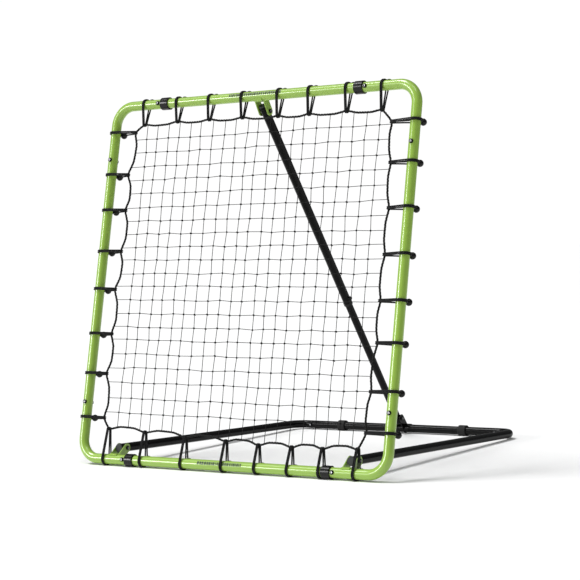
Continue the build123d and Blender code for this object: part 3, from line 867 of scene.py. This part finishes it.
def loop_outline(reach):
    """A strand's flat outline, as (towards the rope, behind) pairs round the tube and the rope."""
    meet = acos((wrap_r - hook_r) / reach)
    outline = []
    for step in range(ARC_STEPS + 1):
        angle = meet + (2 * pi - 2 * meet) * step / ARC_STEPS
        outline.append((wrap_r * cos(angle), wrap_r * sin(angle)))
    leave = (wrap_r * cos(meet), -wrap_r * sin(meet))
    arrive = (reach + hook_r * cos(meet), -hook_r * sin(meet))
    run = [(leave[0] + (arrive[0] - leave[0]) * s / RUN_STEPS,
            leave[1] + (arrive[1] - leave[1]) * s / RUN_STEPS) for s in range(1, RUN_STEPS)]
    outline += run
    for step in range(HOOK_STEPS + 1):
        angle = -meet + 2 * meet * step / HOOK_STEPS
        outline.append((reach + hook_r * cos(angle), hook_r * sin(angle)))
    outline += [(x, -y) for x, y in run[::-1]]
    return outline


random.seed(7)
for side in SIDES:
    along, inward = side_ways(side)
    bm = bmesh.new()
    for crossing, _, reach in hooks(side):
        centre = place(crossing.x, crossing.y)
        skew = random.uniform(-most_skew, most_skew)
        for beside in (-1, 1):
            line = []
            for towards, behind in loop_outline(reach):
                left_to_go = max(0, 1 - towards / reach)
                back_share = min(1, max(0, behind / wrap_r)) * min(1, left_to_go)
                sideways = beside * (together + (apart - together) * back_share)
                sideways += skew * left_to_go
                line.append(centre + inward * towards + BACK * behind + along * sideways)
            add_cord(bm, line, elastic_r, elastic_sides, along)
    bmesh.ops.recalc_face_normals(bm, faces=bm.faces)
    ties = object_from(bm, f"elastic_loops_{side}", elastic_fibre, sharp=pi)
    finish_piece(ties, "net_frame", "elastic_cord", f"elastic_ties_{side}")

# %% [markdown]
# ## The balls
# A ball is moulded in two halves, which leaves a fine raised seam round its middle, and has a
# short neck where the elastic comes out. One ball is turned from a list of rings, and
# the placing tree sets eight of them along each side with the neck against the elastic.

# %% Balls on their ties
ball_r = 11.0 * MM
ball_sink = 1.0 * MM
neck_r, neck_length = 4.2 * MM, 1.6 * MM
ball_out = wrap_r + elastic_r + ball_r - ball_sink
seam_height, ball_sides = 0.25 * MM, 24

bm = bmesh.new()
ball_rings = [(-ball_r - 0.2 * MM, neck_r * 0.9), (-ball_r + neck_length, neck_r)]
for degree in range(-60, 90, 10):
    seam = seam_height if degree == 0 else 0.0
    ball_rings.append((ball_r * sin(radians(degree)), ball_r * cos(radians(degree)) + seam))
turned(bm, ball_rings, ball_sides)
ball = object_from(bm, "ball", ball_plastic)
for side in SIDES:
    inward = side_ways(side)[1]
    angle = radians(BALL_TURNS[side])
    outwards = BACK * cos(angle) - inward * sin(angle)
    places = [(place(crossing.x, crossing.y) + outwards * ball_out, outwards)
              for crossing, _, _ in hooks(side)]
    balls = placed_set(f"moulded_balls_{side}", ball, places, ball_plastic)
    finish_piece(balls, "net_frame", "ball_plastic", f"tie_balls_{side}")
bpy.data.objects.remove(ball)

# %% [markdown]
# ## The knotted net
# The net is thin twine in squares, knotted at each crossing, and laced to the border rope. It
# is drawn as lines: one for each twine, from rope to rope. The lines bend a little at the
# knots, because no hand-hung net is perfectly even. An attribute tells the tree where the
# knots are. The tree gives the lines their thickness and ties a knot at each marked point.

# %% Lines of the net
COLUMNS = (137, 179, 228, 270, 318, 361, 408, 456, 501, 547, 587, 637, 679, 723, 765, 814, 860,
           904, 948, 993, 1041)
ROWS = (116, 161, 208, 251, 297, 343, 388, 431, 474, 517, 562, 602, 648, 693, 737, 779, 825, 871,
        918, 970, 1018)
row_drop = 15 * MM
unevenness = 2.2 * MM
HALVINGS = 30


def knot_places():
    """The knots as flat points, row by row."""
    random.seed(21)
    rows = []
    for down in ROWS:
        fall = row_drop * sin(pi * down * MM / (2 * half))
        row = []
        for across in COLUMNS:
            x = across * MM - half + random.uniform(-unevenness, unevenness)
            y = half - down * MM - fall * across * MM / (2 * half)
            row.append(Vector((x, y + random.uniform(-unevenness, unevenness))))
        rows.append(row)
    return rows


def inside_rope(point):
    """True if a flat point lies inside the rope's line."""
    inside = False
    for here, there in zip(rope_line, rope_line[1:] + rope_line[:1]):
        if (here.y > point.y) != (there.y > point.y):
            crossing = here.x + (point.y - here.y) / (there.y - here.y) * (there.x - here.x)
            inside ^= point.x < crossing
    return inside


def out_to_rope(knot, way):
    """Where a twine that leaves a knot in some direction meets the rope."""
    near, far = 0.0, 0.2
    for _ in range(HALVINGS):
        reach = (near + far) / 2
        if inside_rope(knot + way * reach):
            near = reach
        else:
            far = reach
    return knot + way * near


knots = knot_places()
lines = [(row, (-1, 0), (1, 0)) for row in knots]
lines += [(list(column), (0, 1), (0, -1)) for column in zip(*knots)]
net_points, net_edges, knot_marks = [], [], []
for number, (line, first_way, last_way) in enumerate(lines):
    held = [knot for knot in line if inside_rope(knot)]
    route = [out_to_rope(held[0], Vector(first_way)), *held,
             out_to_rope(held[-1], Vector(last_way))]
    first = len(net_points)
    net_points += [place(point.x, point.y) for point in route]
    net_edges += [(first + i, first + i + 1) for i in range(len(route) - 1)]
    is_column = number >= len(knots)
    knot_marks += [False] + [is_column] * len(held) + [False]
print(len(lines), "twines,", sum(knot_marks), "knots")

# %% Net tree


def captured(tree, label, geometry, value):
    """Keeps a value on each point of a curve. Puts out the geometry and the kept value."""
    keep = add_node(tree, "GeometryNodeCaptureAttribute", domain="POINT")
    keep.capture_items.new("FLOAT", label)
    tree.links.new(geometry, keep.inputs["Geometry"])
    tree.links.new(value, keep.inputs[label])
    return keep.outputs["Geometry"], keep.outputs[label]


def net_tree():
    tree, start, end = geometry_tree("knotted net", ("Twine Radius", "Float"), ("Sides", "Int"),
                                     ("Knot Size", "Float"), ("Seed", "Int"))
    link = tree.links.new
    curves = tree.nodes.new("GeometryNodeMeshToCurve")
    link(start.outputs["Geometry"], curves.inputs["Mesh"])
    place_along = tree.nodes.new("GeometryNodeSplineParameter")
    line, along = captured(tree, "Along", curves.outputs["Curve"], place_along.outputs["Length"])
    profile = tree.nodes.new("GeometryNodeCurvePrimitiveCircle")
    link(start.outputs["Twine Radius"], profile.inputs["Radius"])
    link(start.outputs["Sides"], profile.inputs["Resolution"])
    place_around = tree.nodes.new("GeometryNodeSplineParameter")
    ring, around = captured(tree, "Around", profile.outputs["Curve"], place_around.outputs["Factor"])
    skin = add_node(tree, "GeometryNodeCurveToMesh", in_Fill_Caps=True)
    link(line, skin.inputs["Curve"])
    link(ring, skin.inputs["Profile Curve"])
    girths = add_node(tree, "ShaderNodeMath", operation="DIVIDE")
    link(along, girths.inputs[0])
    link(start.outputs["Twine Radius"], girths.inputs[1])
    pair = tree.nodes.new("ShaderNodeCombineXYZ")
    link(around, pair.inputs["X"])
    link(girths.outputs[0], pair.inputs["Y"])
    store = add_node(tree, "GeometryNodeStoreNamedAttribute", data_type="FLOAT2",
                     domain="CORNER", in_Name="cord")
    link(skin.outputs["Mesh"], store.inputs["Geometry"])
    link(pair.outputs["Vector"], store.inputs["Value"])

    marked = add_node(tree, "GeometryNodeInputNamedAttribute", data_type="BOOLEAN", in_Name="knot")
    spin = add_node(tree, "FunctionNodeRandomValue", data_type="FLOAT_VECTOR",
                    in_Max=(0.5, 0.5, 3.0))
    link(start.outputs["Seed"], spin.inputs["Seed"])
    lump = add_node(tree, "GeometryNodeMeshIcoSphere", in_Subdivisions=2)
    link(start.outputs["Knot Size"], lump.inputs["Radius"])
    flatten = add_node(tree, "GeometryNodeTransform", in_Scale=(1.25, 0.85, 0.85))
    link(lump.outputs["Mesh"], flatten.inputs["Geometry"])
    copies = tree.nodes.new("GeometryNodeInstanceOnPoints")
    link(start.outputs["Geometry"], copies.inputs["Points"])
    link(marked.outputs["Attribute"], copies.inputs["Selection"])
    link(flatten.outputs["Geometry"], copies.inputs["Instance"])
    link(spin.outputs["Value"], copies.inputs["Rotation"])

    both = tree.nodes.new("GeometryNodeJoinGeometry")
    link(copies.outputs["Instances"], both.inputs["Geometry"])
    link(store.outputs["Geometry"], both.inputs["Geometry"])
    return end_tree(tree, both.outputs["Geometry"], start, end)


# %% Knotted net
twine_r = 1.1 * MM
knot_r = 3.5 * MM
carrier = line_object("net_lines", net_points, net_edges)
marks = carrier.data.attributes.new("knot", "BOOLEAN", "POINT")
marks.data.foreach_set("value", knot_marks)
net = grown(carrier, net_tree(), "knotted_net", Twine_Radius=twine_r, Sides=6, Knot_Size=knot_r,
            Seed=5, Finish=twine_fibre)
finish_piece(smoothed(net), "net_frame", "net_twine", "net_panel")

# %% [markdown]
# ## The printed band
# The front of the top and bottom tubes carries a short printed band. Here it is a plain row of
# dark bars of different widths. Each bar is a thin curved patch that lies on the round tube, and
# the placing tree is not needed: the widths differ, so a loop is shorter.

# %% Printed bars
bar_height, bar_lift, bar_sink = 10 * MM, 0.25 * MM, 0.3 * MM
BANDS = ((half, -112 * MM, 92 * MM), (-half, -100 * MM, 70 * MM))
band_rise = 4.5 * MM
BAR_WIDTHS, BAR_GAPS = (3.0, 8.0), (1.4, 2.6)
BAR_ARC = 6


def bar_places(band_start, band_end):
    """The left and right ends of a band's bars."""
    bars, x = [], band_start
    while x < band_end:
        width = random.uniform(*BAR_WIDTHS) * MM
        bars.append((x, min(x + width, band_end)))
        x += width + random.uniform(*BAR_GAPS) * MM
    return bars


random.seed(3)
bm = bmesh.new()
raise_angle = asin(band_rise / tube_r)
half_angle = bar_height / 2 / tube_r
for up, band_start, band_end in BANDS:
    for left, right in bar_places(band_start, band_end):
        loops = []
        for across in (left, right):
            loop = []
            for radius, order in ((tube_r + bar_lift, 1), (tube_r - bar_sink, -1)):
                arc = [raise_angle - half_angle + 2 * half_angle * s / BAR_ARC
                       for s in range(BAR_ARC + 1)]
                for angle in arc[::order]:
                    point = place(across, up + radius * sin(angle), -radius * cos(angle))
                    loop.append(bm.verts.new(point))
            loops.append(loop)
        count = len(loops[0])
        for step in range(count):
            after = (step + 1) % count
            bm.faces.new((loops[0][step], loops[0][after], loops[1][after], loops[1][step]))
        for step in range(BAR_ARC):
            other = count - 1 - step
            bm.faces.new((loops[0][step], loops[0][other], loops[0][other - 1], loops[0][step + 1]))
            bm.faces.new((loops[1][step], loops[1][step + 1], loops[1][other - 1], loops[1][other]))
bmesh.ops.recalc_face_normals(bm, faces=bm.faces)
band = object_from(bm, "printed_bars", label_ink)
finish_piece(band, "net_frame", "green_powder_coat")

# %% [markdown]
# ## Floor and light
# The rebounder stands in a white studio. Two soft lights overhead draw the narrow dark bands
# under the base, which stands close to the floor, and leave the rest of the floor white.
# A low light from the front left puts a long highlight along the tubes. The floor has a
# faint mottle, and the sky is white wherever the camera looks past the floor.

# %% Floor
floor_half = 30.0
bm = bmesh.new()
bm.faces.new([bm.verts.new((x * floor_half, y * floor_half, 0))
              for x, y in ((-1, -1), (1, -1), (1, 1), (-1, 1))])
floor_finish = mottled("studio_floor", (0.93, 0.93, 0.93), 0.9, 0.02, 400, 0.00005)
floor = object_from(bm, "studio_floor", floor_finish)

# %% Lights


def studio_light(name, towards, energy, spread):
    """A far soft light. towards points at it, and spread is how wide it looks, in degrees."""
    data = bpy.data.lights.new(name, "SUN")
    data.energy, data.angle = energy, radians(spread)
    linked(name, data).rotation_euler = Vector(towards).to_track_quat("Z", "Y").to_euler()


studio_light("ceiling_left", (-0.42, -0.25, 1.0), 2.55, 22)
studio_light("ceiling_right", (0.30, -0.25, 1.0), 0.55, 22)
studio_light("front_left", (-0.66, -0.72, 0.26), 1.3, 13)

world = bpy.data.worlds.new("studio")
world.use_nodes = True
bpy.context.scene.world = world
tree = world.node_tree
soft = tree.nodes["Background"]
soft.inputs["Color"].default_value = colour(0.97, 0.985, 1.0)
soft.inputs["Strength"].default_value = 0.17
seen = add_node(tree, "ShaderNodeBackground", in_Color=colour(1, 1, 1), in_Strength=1.02)
rays = add_node(tree, "ShaderNodeLightPath")
choose = add_node(tree, "ShaderNodeMixShader")
link = tree.links.new
link(rays.outputs["Is Camera Ray"], choose.inputs["Fac"])
link(soft.outputs[0], choose.inputs[1])
link(seen.outputs[0], choose.inputs[2])
link(choose.outputs[0], tree.nodes["World Output"].inputs["Surface"])
bpy.context.scene.view_settings.view_transform = "Standard"
print("three lights, white studio")
